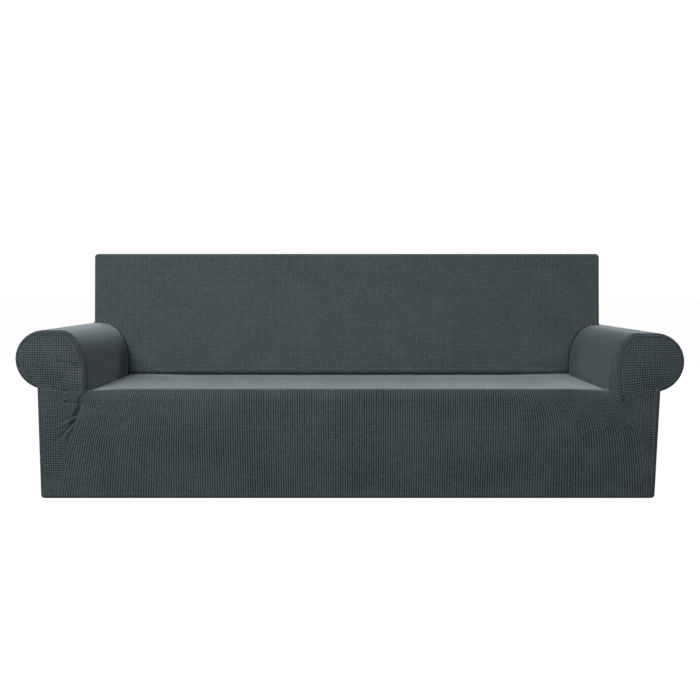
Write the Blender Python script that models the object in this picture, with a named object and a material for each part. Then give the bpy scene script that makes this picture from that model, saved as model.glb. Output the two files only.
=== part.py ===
"""Sofa slipcover: a one-piece stretch cover, shaped by the long rolled-arm sofa it was fitted over.

Nine panels of thick small-check cloth are sewn edge to edge. The cover is hollow and open below,
where an elastic hem turns under all round. X runs along the sofa, the front faces -Y, Z is up, and
the origin is on the floor under the middle of the cover. Sizes are in metres.
"""

from collections import namedtuple
from math import acos, cos, exp, hypot, pi, radians, sin, sqrt

import bmesh
import bpy

MM = 0.001

# The cloth and the way its panels meet
CLOTH = 3 * MM
SEAM_GAP = 0.3 * MM
CLOTH_COLOUR = (0.075, 0.092, 0.098, 1.0)
CLOTH_ROUGHNESS = 0.95
HEM_RADIUS = 12 * MM
HEM_RISE = HEM_RADIUS * sqrt(3) / 2

# The sofa's shape, as the cover shows it
FRONT = -0.433
REAR = 0.445
SEAT_TOP = 0.394
SEAT_DROP = 32 * MM
SEAT_ROLL = 17 * MM
SEAT_CROWN = 10 * MM
SKIRT_BULGE = 12 * MM
CREASE = 0.116
CREASE_SAG = 6 * MM
RECLINE = 0.048
BACK_TOP = 0.911
BACK_EDGE = 15 * MM
HEM_CURL = 20 * MM
ABOVE_ARMS = 0.644

# How far one shape takes to ease into the next: shares of a panel's length from its end, shares of
# the seat's depth from its crease, and distances from a seam or the hem
BACK_END_REACH = 0.16
SEAT_END_REACH = 0.085
CROWN_REACH = 0.35
BULGE_REACH = 0.25
FOLD_SEAM_REACH = 30 * MM
FOLD_HEM_REACH = 60 * MM
FOLD_END_REACH = 0.02
REAR_CURL_REACH = 0.3

# Where each arm's cloth runs. "across" is the distance outwards from the middle of the sofa, and a
# curl is how far the arm's panel wraps round the front edge before it meets the facing.
Arm = namedtuple(
    "Arm",
    "name side back_edge inner_front inner_back shoulder_start shoulder_front shoulder_back"
    " top roll_across roll_up roll_radius outer_top outer_hem curl_inner curl_roll curl_outer",
)
ARMS = (
    Arm("left", -1, 1.109, 0.949, 0.9575, 0.454, 0.090, 0.118,
        0.6137, 1.0965, 0.5067, 0.107, 1.131, 1.131, 20 * MM, 13 * MM, 20 * MM),
    Arm("right", 1, 1.082, 0.9445, 0.947, 0.444, 0.086, 0.104,
        0.6026, 1.097, 0.4959, 0.1067, 1.124, 1.1155, 38 * MM, 15 * MM, 22 * MM),
)

# The seam between the skirt and each facing, from just under the seat down to the hem
SkirtSeam = namedtuple("SkirtSeam", "up left right")
SKIRT_SEAM = (
    SkirtSeam(0.322, 0.980, 1.009),
    SkirtSeam(0.285, 0.993, 1.035),
    SkirtSeam(0.251, 1.002, 1.047),
    SkirtSeam(0.214, 1.016, 1.055),
    SkirtSeam(0.109, 1.038, 1.069),
    SkirtSeam(0.000, 1.056, 1.077),
)

# Pulled folds: a ridge (out above zero) or a trough between two points of one panel's front view
Fold = namedtuple("Fold", "panel x up to_x to_up width out")
FOLDS = (
    Fold("arm_front_left", -0.995, 0.304, -1.059, 0.266, 0.012, 3.5 * MM),
    Fold("arm_front_left", -0.997, 0.276, -1.073, 0.205, 0.012, 4.0 * MM),
    Fold("arm_front_left", -1.007, 0.244, -1.057, 0.165, 0.014, 3.0 * MM),
    Fold("arm_front_left", -1.105, 0.408, -1.027, 0.390, 0.013, -4.0 * MM),
    Fold("arm_front_left", -0.992, 0.504, -0.982, 0.444, 0.016, -5.0 * MM),
    Fold("arm_front_right", 1.012, 0.396, 1.097, 0.406, 0.014, -4.0 * MM),
    Fold("arm_front_right", 1.042, 0.305, 1.077, 0.165, 0.016, 2.5 * MM),
    Fold("inside_back", -1.057, 0.704, -0.928, 0.726, 0.022, -3.0 * MM),
    Fold("inside_back", 0.798, 0.434, 0.908, 0.409, 0.022, 4.0 * MM),
    Fold("seat_front", -0.928, 0.360, -0.958, 0.185, 0.020, -3.0 * MM),
    Fold("seat_front", 0.948, 0.335, 1.018, 0.205, 0.020, -3.0 * MM),
)

# How finely each stretch of the outline is cut into facets
WALL_STEPS = 3
SHOULDER_STEPS = 8
CURL_STEPS = 3
SKIRT_HEIGHTS = (
    *(0.330, 0.300, 0.275, 0.250, 0.225, 0.200, 0.170, 0.140, 0.100, 0.060),
    *(HEM_RISE, 0.6 * HEM_RISE, 0.28 * HEM_RISE, 0.0),
)
END_STEPS = 6
ARM_STEPS = 5
REAR_STEPS = 2
FACING_STEPS = 11
SEAT_STEPS = 5
SEAT_COLUMNS = 24
BACK_COLUMNS = 18
TOP_OF_BACK_STEPS = 2
END_COLUMNS = 3
OUTSIDE_COLUMNS = 8

# A spot on an arm's outline and the way its cloth faces there. CORNER counts the spots before the
# one where the end of the back stands on the arm. The facing's two edges take a step each at a
# time, so the roll has as many.
Spot = namedtuple("Spot", "across up out_across out_up")
CORNER = WALL_STEPS + SHOULDER_STEPS + 1
ROLL_STEPS = CORNER


def between(start, end, share):
    return start + (end - start) * share


def shares(steps):
    """Even shares from 0 to 1, both ends included."""
    return [step / steps for step in range(steps + 1)]


def smooth(share):
    share = min(1.0, max(0.0, share))
    return share * share * (3 - 2 * share)


def quarter_turns(steps=CURL_STEPS):
    return [share * pi / 2 for share in shares(steps)]


def hem_turn(up):
    """How far the hem has turned under the cover at this height."""
    if up >= HEM_RISE:
        return 0.0
    return HEM_RADIUS - sqrt(HEM_RADIUS**2 - (HEM_RISE - up) ** 2)


def face_of_back(up):
    """Y of the inside back, which leans away from the seat."""
    lowest = SEAT_TOP - CREASE_SAG
    return CREASE + RECLINE * (up - lowest) / (BACK_TOP - lowest)


def seam_across(arm, up):
    """How far out the seam between the skirt and this arm's facing lies at this height."""
    top = SkirtSeam(SEAT_TOP - SEAT_DROP, *(each.inner_front + each.curl_inner for each in ARMS))
    table = (top, *SKIRT_SEAM)
    for upper, lower in zip(table, table[1:]):
        if up >= lower.up:
            share = (upper.up - up) / (upper.up - lower.up)
            return between(getattr(upper, arm.name), getattr(lower, arm.name), share)


def fold_height(panel, x, up):
    """How far this panel's folds lift its cloth here."""
    height = 0.0
    for fold in FOLDS:
        if fold.panel != panel:
            continue
        run_x = fold.to_x - fold.x
        run_up = fold.to_up - fold.up
        share = ((x - fold.x) * run_x + (up - fold.up) * run_up) / (run_x**2 + run_up**2)
        share = min(1.0, max(0.0, share))
        away = hypot(x - fold.x - share * run_x, up - fold.up - share * run_up)
        height += fold.out * exp(-((away / fold.width) ** 2))
    return height


def faded(*reaches):
    """0 at a panel's edges and 1 once past each of these reaches, so that seams stay in place."""
    fade = 1.0
    for reach in reaches:
        fade *= smooth(reach)
    return fade


def near_ends(share):
    """1 at each end of a panel as long as the back, falling to 0 a little way in."""
    return smooth(1 - share / BACK_END_REACH), smooth(1 - (1 - share) / BACK_END_REACH)


def crease_up(share):
    """The crease behind the seat sags a little between the arms."""
    return SEAT_TOP - CREASE_SAG * (1 - sum(near_ends(share)))


def cloth_material(name):
    material = bpy.data.materials.new(name + "_cloth")
    material.use_nodes = True
    shader = material.node_tree.nodes["Principled BSDF"]
    shader.inputs["Base Color"].default_value = CLOTH_COLOUR
    shader.inputs["Roughness"].default_value = CLOTH_ROUGHNESS
    shader.inputs["Metallic"].default_value = 0.0
    return material


def sheet(name, rows):
    """One closed sheet from rows of (outer point, inner point), with None where there's no cloth."""
    mesh = bmesh.new()
    outer = {}
    inner = {}
    for r, row in enumerate(rows):
        for c, pair in enumerate(row):
            if pair is not None:
                outer[r, c] = mesh.verts.new(pair[0])
                inner[r, c] = mesh.verts.new(pair[1])
    cells = {
        (r, c)
        for r, c in outer
        if {(r + 1, c), (r, c + 1), (r + 1, c + 1)} <= outer.keys()
    }
    for r, c in sorted(cells):
        ring = ((r, c), (r, c + 1), (r + 1, c + 1), (r + 1, c))
        mesh.faces.new([outer[at] for at in ring])
        mesh.faces.new([inner[at] for at in reversed(ring)])
        sides = ((r - 1, c), (r, c + 1), (r + 1, c), (r, c - 1))
        for start, end, beyond in zip(ring, ring[1:] + ring[:1], sides):
            if beyond not in cells:
                mesh.faces.new((outer[end], outer[start], inner[start], inner[end]))
    bmesh.ops.remove_doubles(mesh, verts=mesh.verts, dist=0.005 * MM)
    bmesh.ops.triangulate(mesh, faces=mesh.faces)
    bmesh.ops.recalc_face_normals(mesh, faces=mesh.faces)
    data = bpy.data.meshes.new(name)
    mesh.to_mesh(data)
    mesh.free()
    data.materials.append(cloth_material(name))
    panel = bpy.data.objects.new(name, data)
    bpy.context.scene.collection.objects.link(panel)
    return panel


# The arms' outline, which every panel that meets an arm follows


def arm_outline(arm, back_share):
    """Spots from the seat up the inner side, over the roll and down the outer side to the hem.

    back_share is 0 at the front of the arm and 1 where it meets the back.
    """
    inner = between(arm.inner_front, arm.inner_back, back_share)
    reach = between(arm.shoulder_front, arm.shoulder_back, back_share)
    rise = arm.top - arm.shoulder_start
    spots = []
    for share in shares(WALL_STEPS)[:-1]:
        spots.append(Spot(inner, between(SEAT_TOP, arm.shoulder_start, share), -1.0, 0.0))
    for turn in quarter_turns(SHOULDER_STEPS):
        across = inner + reach * (1 - cos(turn))
        up = arm.shoulder_start + rise * sin(turn)
        slope = hypot(rise * cos(turn), reach * sin(turn))
        spots.append(Spot(across, up, -rise * cos(turn) / slope, reach * sin(turn) / slope))
    # The roll starts at the end of the back and stops at the notch over the outer side.
    start = acos((arm.back_edge - arm.roll_across) / arm.roll_radius)
    stop = -acos((arm.outer_top - arm.roll_across) / arm.roll_radius)
    for share in shares(ROLL_STEPS):
        turn = between(start, stop, share)
        across = arm.roll_across + arm.roll_radius * cos(turn)
        up = arm.roll_up + arm.roll_radius * sin(turn)
        spots.append(Spot(across, up, cos(turn), sin(turn)))
    notch = spots.pop()
    mitre = 1 + notch.out_across
    spots.append(Spot(notch.across, notch.up, 1.0, notch.out_up / mitre))
    for up in SKIRT_HEIGHTS:
        across = between(arm.outer_hem, arm.outer_top, up / notch.up)
        spots.append(Spot(across, up, 1.0, 0.0))
    return spots


def front_curls(arm):
    """How far the arm's panel wraps round the front edge at each spot of its outline."""
    curls = [between(arm.curl_inner, arm.curl_roll, smooth(spot / CORNER)) for spot in range(CORNER)]
    curls += [arm.curl_roll] * ROLL_STEPS
    curls += [arm.curl_outer] * (len(SKIRT_HEIGHTS) + 1)
    return curls


def rear_curl(spot):
    """Radius of the cover's rear edge, wider low down where the hem turns under it."""
    return between(HEM_CURL, BACK_EDGE, smooth(spot.up / REAR_CURL_REACH))


def sunk(spot, depth):
    """(across, up) of a spot this deep under the outline."""
    return spot.across - depth * spot.out_across, spot.up - depth * spot.out_up


def curled(spot, curl, turn, depth):
    """(across, up, depth behind the flat face beyond) on a rounded edge, turned from 0 to pi / 2."""
    rounded = curl - depth - hem_turn(spot.up)
    across, up = sunk(spot, curl - rounded * cos(turn))
    return across, up, curl - rounded * sin(turn)


def arm_panel(arm):
    """Inner arm, roll and outer arm in one piece, from the facing back to the outside back."""
    rows = []
    for turn in reversed(quarter_turns()):
        row = []
        drop = SEAT_DROP * (1 - cos(turn))
        for index, (spot, curl) in enumerate(zip(arm_outline(arm, 0.0), front_curls(arm))):
            pair = []
            for depth in (0.0, CLOTH):
                across, up, behind = curled(spot, curl, turn, depth)
                up += SEAM_GAP / 2 - drop if index == 0 else 0.0
                pair.append((arm.side * across, FRONT + behind, up))
            row.append(pair)
        rows.append(row)
    top = arm_outline(arm, 1.0)[CORNER].up
    for share in shares(ARM_STEPS)[1:]:
        row = []
        for index, (spot, curl) in enumerate(zip(arm_outline(arm, share), front_curls(arm))):
            end = face_of_back(spot.up if index < CORNER else top) - SEAM_GAP / 2
            y = between(FRONT + curl, end, share)
            pair = []
            for depth in (0.0, CLOTH):
                across, up = sunk(spot, depth + hem_turn(spot.up))
                up += SEAM_GAP / 2 if index == 0 else 0.0
                pair.append((arm.side * across, y, up))
            row.append(pair)
        rows.append(row)
    corner, *outside = arm_outline(arm, 1.0)[CORNER:]
    outside.insert(0, corner._replace(out_across=1.0, out_up=1.0))
    start = face_of_back(top)
    for share in shares(REAR_STEPS)[1:]:
        row = [None] * CORNER
        for spot in outside:
            y = between(start, REAR - rear_curl(spot), share)
            pair = []
            for depth in (0.0, CLOTH):
                across, up = sunk(spot, depth + hem_turn(spot.up))
                pair.append((arm.side * across, y, up))
            row.append(pair)
        rows.append(row)
    for turn in quarter_turns()[1:]:
        row = [None] * CORNER
        for spot in outside:
            pair = []
            for depth in (0.0, CLOTH):
                across, up, behind = curled(spot, rear_curl(spot), turn, depth)
                pair.append((arm.side * across, REAR - behind, up))
            row.append(pair)
        rows.append(row)
    return sheet(f"arm_{arm.name}", rows)


def arm_facing(arm):
    """The scroll-shaped front of the arm, from the top of the roll down to the hem."""
    name = f"arm_front_{arm.name}"
    outline = arm_outline(arm, 0.0)
    edges = []
    for index, (spot, curl) in enumerate(zip(outline, front_curls(arm))):
        across, up = sunk(spot, curl + SEAM_GAP)
        edges.append((across, up - SEAT_DROP if index == 0 else up))
    outer_edge = edges[CORNER:]
    inner_edge = edges[CORNER::-1]
    inner_edge += [(seam_across(arm, up) + SEAM_GAP / 2, up) for up in SKIRT_HEIGHTS]
    rows = []
    for (outer_across, outer_up), (inner_across, inner_up) in zip(outer_edge, inner_edge):
        row = []
        for share in shares(FACING_STEPS):
            across = between(outer_across, inner_across, share)
            up = between(outer_up, inner_up, share)
            width = outer_across - inner_across
            from_seams = (share * width / FOLD_SEAM_REACH, (1 - share) * width / FOLD_SEAM_REACH)
            fade = faded(*from_seams, up / FOLD_HEM_REACH)
            lift = fade * fold_height(name, arm.side * across, up)
            y = FRONT + hem_turn(up) - lift
            row.append(((arm.side * across, y, up), (arm.side * across, y + CLOTH, up)))
        rows.append(row)
    return sheet(name, rows)


# The seat and its skirt


def seat_front():
    """The seat and the skirt below it in one piece, from the crease at the back to the hem."""
    name = "seat_front"
    left, right = ARMS
    rows = []

    def spread(reach_left, reach_right, place):
        """One row from arm to arm; place gives (y, up) for an x, its share across and a depth."""
        start = -reach_left + SEAM_GAP / 2
        end = reach_right - SEAM_GAP / 2
        row = []
        for share in shares(SEAT_COLUMNS):
            x = between(start, end, share)
            row.append([(x, *place(x, share, depth)) for depth in (0.0, CLOTH)])
        rows.append(row)

    def body(share):
        """0 at the arms and 1 once clear of them."""
        return faded(share / SEAT_END_REACH, (1 - share) / SEAT_END_REACH)

    def roll_radius(share):
        corner = left.curl_inner if share < 0.5 else right.curl_inner
        return between(corner, SEAT_ROLL, body(share))

    def bulge(share, up):
        """How far the skirt stands in front of the facings, which it meets again at the hem."""
        return SKIRT_BULGE * body(share) * smooth(up / BULGE_REACH)

    def front_start(share):
        """Y at which the seat's flat top ends and its front edge starts to round over."""
        return FRONT - bulge(share, SEAT_TOP) + roll_radius(share)

    def deck_up(share, deck_share):
        """Height of the seat, crowned towards the front and falling to the crease behind it."""
        crown = SEAT_CROWN * body(share) * smooth((1 - deck_share) / CROWN_REACH)
        return between(SEAT_TOP, crease_up(share), smooth(deck_share)) + crown

    for deck_share in reversed(shares(SEAT_STEPS)[1:]):

        def deck(x, share, depth):
            y = between(front_start(share), CREASE - SEAM_GAP / 2, deck_share)
            return y, deck_up(share, deck_share) - depth

        reaches = [between(arm.inner_front, arm.inner_back, deck_share) for arm in ARMS]
        spread(*reaches, deck)
    for turn in quarter_turns():

        def front_roll(x, share, depth):
            y = front_start(share) - (roll_radius(share) - depth) * sin(turn)
            foot = SEAT_TOP - SEAT_DROP
            return y, foot + (deck_up(share, 0.0) - foot - depth) * cos(turn)

        spread(*(arm.inner_front + arm.curl_inner * (1 - cos(turn)) for arm in ARMS), front_roll)
    for height in SKIRT_HEIGHTS:

        def skirt(x, share, depth):
            folds = faded(height / FOLD_HEM_REACH) * body(share) * fold_height(name, x, height)
            return FRONT - bulge(share, height) - folds + hem_turn(height) + depth, height

        spread(*(seam_across(arm, height) for arm in ARMS), skirt)
    return sheet(name, rows)


# The back


def back_section():
    """(y, up, out_y, out_up) round the back: up its face from the arms, over the top and down."""
    lean = radians(90) - acos(RECLINE / hypot(RECLINE, BACK_TOP - SEAT_TOP))
    top_centre = BACK_TOP - BACK_EDGE
    face_centre = face_of_back(top_centre) + BACK_EDGE / cos(lean)
    section = []
    for turn in quarter_turns():
        tilt = between(lean, radians(90), turn / radians(90))
        section.append(
            (
                face_centre - BACK_EDGE * cos(tilt),
                top_centre + BACK_EDGE * sin(tilt),
                -cos(tilt),
                sin(tilt),
            )
        )
    rear_centre = REAR - BACK_EDGE
    for share in shares(TOP_OF_BACK_STEPS)[1:-1]:
        section.append((between(face_centre, rear_centre, share), BACK_TOP, 0.0, 1.0))
    for turn in reversed(quarter_turns()):
        section.append(
            (
                rear_centre + BACK_EDGE * cos(turn),
                top_centre + BACK_EDGE * sin(turn),
                cos(turn),
                sin(turn),
            )
        )
    return section


def inside_back():
    """The face of the back from the seat's crease up, and over the top to the rear edge."""
    name = "inside_back"
    left, right = ARMS
    section = back_section()
    _, face_up, lean_y, lean_up = section[0]
    # Each face row holds its height clear of the arms and (across, up) at its two ends.
    face_rows = []
    crease = SEAT_TOP - CREASE_SAG + SEAM_GAP / 2
    arm_tops = [arm_outline(arm, 1.0)[: CORNER + 1] for arm in ARMS]
    for index in range(CORNER + 1):
        middle = between(crease, ABOVE_ARMS, index / CORNER)
        ends = [(outline[index].across, outline[index].up) for outline in arm_tops]
        face_rows.append((middle, ends, 0.0))
    end_rows = zip(shares(END_STEPS), *(end_heights(arm) for arm in ARMS))
    for share, *heights in list(end_rows)[1:]:
        middle = between(ABOVE_ARMS, face_up, share)
        rise = BACK_EDGE * lean_up + (SEAM_GAP if share == 1 else 0.0)
        ends = [(arm.back_edge, height + rise) for arm, height in zip(ARMS, heights)]
        face_rows.append((middle, ends, BACK_EDGE))
    rows = []

    def wrap(curl, end_across, place):
        """One row from end to end, curled round both ends of the back where curl isn't zero."""
        row = []
        turns = quarter_turns()[1:]
        reach_left, reach_right = end_across
        for turn in reversed(turns):
            row.append([end_point(-1, reach_left, curl, turn, depth, place) for depth in (0.0, CLOTH)])
        for share in shares(BACK_COLUMNS):
            x = between(-reach_left + curl, reach_right - curl, share)
            row.append([(x, *place(share, depth)) for depth in (0.0, CLOTH)])
        for turn in turns:
            row.append([end_point(1, reach_right, curl, turn, depth, place) for depth in (0.0, CLOTH)])
        rows.append(row)

    def end_point(side, reach, curl, turn, depth, place):
        if not curl:
            return (side * reach, *place(max(side, 0), depth))
        across = reach - curl + (curl - depth) * sin(turn)
        return (side * across, *place(max(side, 0), curl - (curl - depth) * cos(turn)))

    for middle, ends, curl in face_rows:
        (left_across, left_up), (right_across, right_up) = ends

        def face(share, depth):
            near_left, near_right = near_ends(share)
            up = middle + near_left * (left_up - middle) + near_right * (right_up - middle)
            x = between(-left_across, right_across, share)
            from_ends = (share / FOLD_END_REACH, (1 - share) / FOLD_END_REACH)
            fade = faded(*from_ends, (up - SEAT_TOP) / FOLD_SEAM_REACH)
            lift = fade * fold_height(name, x, up) - depth
            return face_of_back(up) + lift * lean_y, up + lift * lean_up

        wrap(curl, (left_across, right_across), face)
    for y, up, out_y, out_up in section[1:]:

        def over(share, depth):
            return y - depth * out_y, up - depth * out_up

        wrap(BACK_EDGE, (left.back_edge, right.back_edge), over)
    return sheet(name, rows)


def end_heights(arm):
    """Heights on the back's end, from the arm up to where the top edge starts to round over."""
    foot = arm_outline(arm, 1.0)[CORNER].up
    heights = [between(foot, BACK_TOP - BACK_EDGE, share) for share in shares(END_STEPS)]
    heights[-1] -= SEAM_GAP
    return heights


def back_end(arm):
    """The end of the back above the arm, as far round as the outside back."""
    lean_y = back_section()[0][2]
    flat_end = REAR - BACK_EDGE
    rows = []
    for index, height in enumerate(end_heights(arm)):
        at_foot = index == 0
        front = CLOTH if at_foot else -BACK_EDGE * lean_y
        up = height + SEAM_GAP / 2 if at_foot else height
        row = []
        for share in shares(END_COLUMNS):
            y = between(face_of_back(height) + front + SEAM_GAP, flat_end, share)
            row.append([(arm.side * (arm.back_edge - depth), y, up) for depth in (0.0, CLOTH)])
        for turn in quarter_turns()[1:]:
            pair = []
            drop = BACK_EDGE * (1 - cos(turn)) if at_foot else 0.0
            for depth in (0.0, CLOTH):
                rounded = BACK_EDGE - depth
                across = arm.back_edge - BACK_EDGE + rounded * cos(turn)
                pair.append((arm.side * across, flat_end + rounded * sin(turn), up - drop))
            row.append(pair)
        rows.append(row)
    return sheet(f"back_end_{arm.name}", rows)


def outside_back():
    """The plain rear of the cover, whose outline takes in the ends of both rolls."""
    edges = []
    for arm in ARMS:
        outline = arm_outline(arm, 1.0)[CORNER:]
        outline[0] = outline[0]._replace(out_across=1.0, out_up=1.0)
        side = [sunk(spot, rear_curl(spot) + SEAM_GAP) for spot in outline]
        side.reverse()
        side += [(arm.back_edge - BACK_EDGE - SEAM_GAP, up) for up in end_heights(arm)[1:]]
        edges.append(side)
    rows = []
    count = len(edges[0]) - 1
    top = edges[0][-1][1]
    for index, ((left_across, left_up), (right_across, right_up)) in enumerate(zip(*edges)):
        skirt = len(SKIRT_HEIGHTS)
        if index < skirt:
            middle = left_up
        else:
            middle = between(SKIRT_HEIGHTS[0], top, (index - skirt + 1) / (count - skirt + 1))
        row = []
        for share in shares(OUTSIDE_COLUMNS):
            near_left, near_right = near_ends(share)
            up = middle + near_left * (left_up - middle) + near_right * (right_up - middle)
            x = between(-left_across, right_across, share)
            y = REAR - hem_turn(up)
            row.append(((x, y, up), (x, y - CLOTH, up)))
        rows.append(row)
    return sheet("outside_back", rows)


for old in list(bpy.data.objects):
    bpy.data.objects.remove(old, do_unlink=True)

for arm in ARMS:
    arm_panel(arm)
    arm_facing(arm)
    back_end(arm)
seat_front()
inside_back()
outside_back()
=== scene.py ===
"""Sofa slipcover: a stretch cover in slate small-check cloth, drawn tight over a long rolled-arm sofa.

The panels are laid in the order a maker sews them: arms, facings, seat and skirt, back, then the
stitching. Lengths are in metres; the front faces -Y and the cover stands on Z = 0.
"""

from collections import namedtuple
from math import acos, cos, hypot, pi, radians, sin, sqrt

import bpy
import numpy as np
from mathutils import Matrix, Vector


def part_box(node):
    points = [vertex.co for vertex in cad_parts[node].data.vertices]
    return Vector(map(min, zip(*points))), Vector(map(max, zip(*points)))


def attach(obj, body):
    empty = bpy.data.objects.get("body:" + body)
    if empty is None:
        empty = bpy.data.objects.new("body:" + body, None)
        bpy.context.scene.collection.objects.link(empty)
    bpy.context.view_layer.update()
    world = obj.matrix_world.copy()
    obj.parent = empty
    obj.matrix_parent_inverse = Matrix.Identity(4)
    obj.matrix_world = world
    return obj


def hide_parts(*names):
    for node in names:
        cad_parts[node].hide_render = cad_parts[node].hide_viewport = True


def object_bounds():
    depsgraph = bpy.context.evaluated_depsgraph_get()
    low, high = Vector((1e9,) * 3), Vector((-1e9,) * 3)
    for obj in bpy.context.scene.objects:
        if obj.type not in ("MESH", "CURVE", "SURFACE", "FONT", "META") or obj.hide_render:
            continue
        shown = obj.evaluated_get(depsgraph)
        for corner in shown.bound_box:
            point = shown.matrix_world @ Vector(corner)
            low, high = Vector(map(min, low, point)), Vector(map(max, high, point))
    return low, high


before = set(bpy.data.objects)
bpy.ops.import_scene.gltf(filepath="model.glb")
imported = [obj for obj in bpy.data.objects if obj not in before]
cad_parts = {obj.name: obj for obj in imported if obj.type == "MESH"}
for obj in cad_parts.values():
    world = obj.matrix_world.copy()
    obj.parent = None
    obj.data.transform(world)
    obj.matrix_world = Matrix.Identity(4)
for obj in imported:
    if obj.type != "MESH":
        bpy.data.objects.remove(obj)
cad_bounds = [list(corner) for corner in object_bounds()]


# ---------------------------------------------------------------------------------------------
# The studio: a white sweep with a broad soft light at the front left, a weaker one at the right, one
# high up and two low behind. The camera is square on, level with the upper half of the back.

EYE_HEIGHT = 0.767
EYE_DISTANCE = 2.660
EYE_TILT = radians(4.8)
LENS = 38.52
SENSOR_WIDTH = 36.0

camera_data = bpy.data.cameras.new("camera")
camera_data.lens = LENS
camera_data.sensor_width = SENSOR_WIDTH
camera = bpy.data.objects.new("camera", camera_data)
camera.location = (0.0, cad_bounds[0][1] - EYE_DISTANCE, EYE_HEIGHT)
camera.rotation_euler = (radians(90) - EYE_TILT, 0.0, 0.0)
bpy.context.scene.collection.objects.link(camera)
bpy.context.scene.camera = camera

MID_COVER = (0.0, 0.0, 0.4)
SEAT_MIDDLE = (0.0, -0.4, 0.3)
MID_REAR = (0.0, 0.4, 0.4)
WHITE = (1.0, 1.0, 1.0)
FAINTLY_BLUE = (0.98, 0.99, 1.0)


def studio_light(name, place, aim, size, power, tint=WHITE):
    """A rectangular soft light; places and size in metres, power in watts."""
    data = bpy.data.lights.new(name, "AREA")
    data.shape = "RECTANGLE"
    data.size, data.size_y = size
    data.energy = power
    data.color = tint
    light = bpy.data.objects.new(name, data)
    light.location = place
    light.rotation_euler = (Vector(aim) - Vector(place)).to_track_quat("-Z", "Y").to_euler()
    bpy.context.scene.collection.objects.link(light)


studio_light("key", (-2.1, -4.1, 3.1), MID_COVER, (2.0, 1.6), 186.0, FAINTLY_BLUE)
studio_light("fill", (2.0, -4.2, 2.8), MID_COVER, (2.0, 1.6), 46.0)
studio_light("from_behind", (0.0, 3.0, 8.0), SEAT_MIDDLE, (1.5, 1.0), 110.0)
studio_light("rear_left", (-3.6, 3.8, 1.7), MID_REAR, (2.4, 1.8), 110.0)
studio_light("rear_right", (3.6, 3.8, 1.7), MID_REAR, (2.4, 1.8), 80.0)
bpy.context.scene.view_settings.view_transform = "Standard"


def camera_sees(tree, lit, seen, output):
    """The camera sees one shader and everything else is lit by the other."""
    ray = tree.nodes.new("ShaderNodeLightPath")
    either = tree.nodes.new("ShaderNodeMixShader")
    tree.links.new(ray.outputs["Is Camera Ray"], either.inputs[0])
    tree.links.new(lit, either.inputs[1])
    tree.links.new(seen, either.inputs[2])
    tree.links.new(either.outputs[0], tree.nodes[output].inputs["Surface"])


AMBIENT = 0.04
AMBIENT_TONE = (0.97, 0.985, 1.0, 1.0)
BACKDROP_GLOW = 1.02

world = bpy.data.worlds.new("studio")
world.use_nodes = True
backdrop = world.node_tree
ambient = backdrop.nodes["Background"]
ambient.inputs["Color"].default_value = AMBIENT_TONE
ambient.inputs["Strength"].default_value = AMBIENT
white_wall = backdrop.nodes.new("ShaderNodeBackground")
white_wall.inputs["Color"].default_value = (*WHITE, 1.0)
white_wall.inputs["Strength"].default_value = BACKDROP_GLOW
camera_sees(backdrop, ambient.outputs[0], white_wall.outputs[0], "World Output")
bpy.context.scene.world = world

FLOOR_HALF = 40.0
FLOOR_TONE = (0.08, 0.08, 0.08, 1.0)
FLOOR_GLOW = 0.98

floor_mesh = bpy.data.meshes.new("white_floor")
floor_mesh.from_pydata(
    [(x * FLOOR_HALF, y * FLOOR_HALF, 0.0) for x, y in ((-1, -1), (1, -1), (1, 1), (-1, 1))],
    [],
    [(0, 1, 2, 3)],
)
white_paper = bpy.data.materials.new("white_paper")
white_paper.use_nodes = True
paper_tree = white_paper.node_tree
paper = paper_tree.nodes["Principled BSDF"]
paper.inputs["Base Color"].default_value = FLOOR_TONE
paper.inputs["Roughness"].default_value = 0.95
paper.inputs["Specular IOR Level"].default_value = 0.1
glow = paper_tree.nodes.new("ShaderNodeEmission")
glow.inputs["Strength"].default_value = FLOOR_GLOW
glowing = paper_tree.nodes.new("ShaderNodeAddShader")
paper_tree.links.new(paper.outputs[0], glowing.inputs[0])
paper_tree.links.new(glow.outputs[0], glowing.inputs[1])
camera_sees(paper_tree, paper.outputs[0], glowing.outputs[0], "Material Output")
floor_mesh.materials.append(white_paper)
floor = bpy.data.objects.new("white_floor", floor_mesh)
bpy.context.scene.collection.objects.link(floor)


# ---------------------------------------------------------------------------------------------
# The cloth: a thick stretch jacquard knitted as small raised squares of looped yarn between
# sunken lines. The yarn is a melange, so no two loops are quite the same slate grey.

CHECK = 8.6e-3
SQUARENESS = 4.0
PAD_EDGE = (0.36, 0.49)
DOME_EDGE = (0.10, 0.50)
LOOPS_PER_METRE = 900.0
DRIFTS_PER_METRE = 7.0
LOOP_RELIEF = 1.4e-3
CLOTH_THICKNESS = 2.6e-3
PAD_TONE = (0.090, 0.118, 0.127, 1.0)
# Painted shade: the dark laid in the sunken lines round the squares. Random squares also darken towards
# it.
GROOVE_SHADE_AND_DARK_SQUARE_TONE = (0.010, 0.016, 0.019, 1.0)
FUZZ_TONE = (0.160, 0.196, 0.206, 1.0)
# Painted highlight: the paler tone laid over the seat towards its front edge.
PAINTED_HIGHLIGHT_TONE = (0.270, 0.315, 0.330, 1.0)


def new_group(name, inputs, outputs):
    """A shader node group; inputs and outputs are (name, kind, default) and (name, kind)."""
    group = bpy.data.node_groups.new(name, "ShaderNodeTree")
    for label, kind, default in inputs:
        socket = group.interface.new_socket(label, in_out="INPUT", socket_type=kind)
        socket.default_value = default
    for label, kind in outputs:
        group.interface.new_socket(label, in_out="OUTPUT", socket_type=kind)
    return group, group.nodes.new("NodeGroupInput"), group.nodes.new("NodeGroupOutput")


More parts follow.
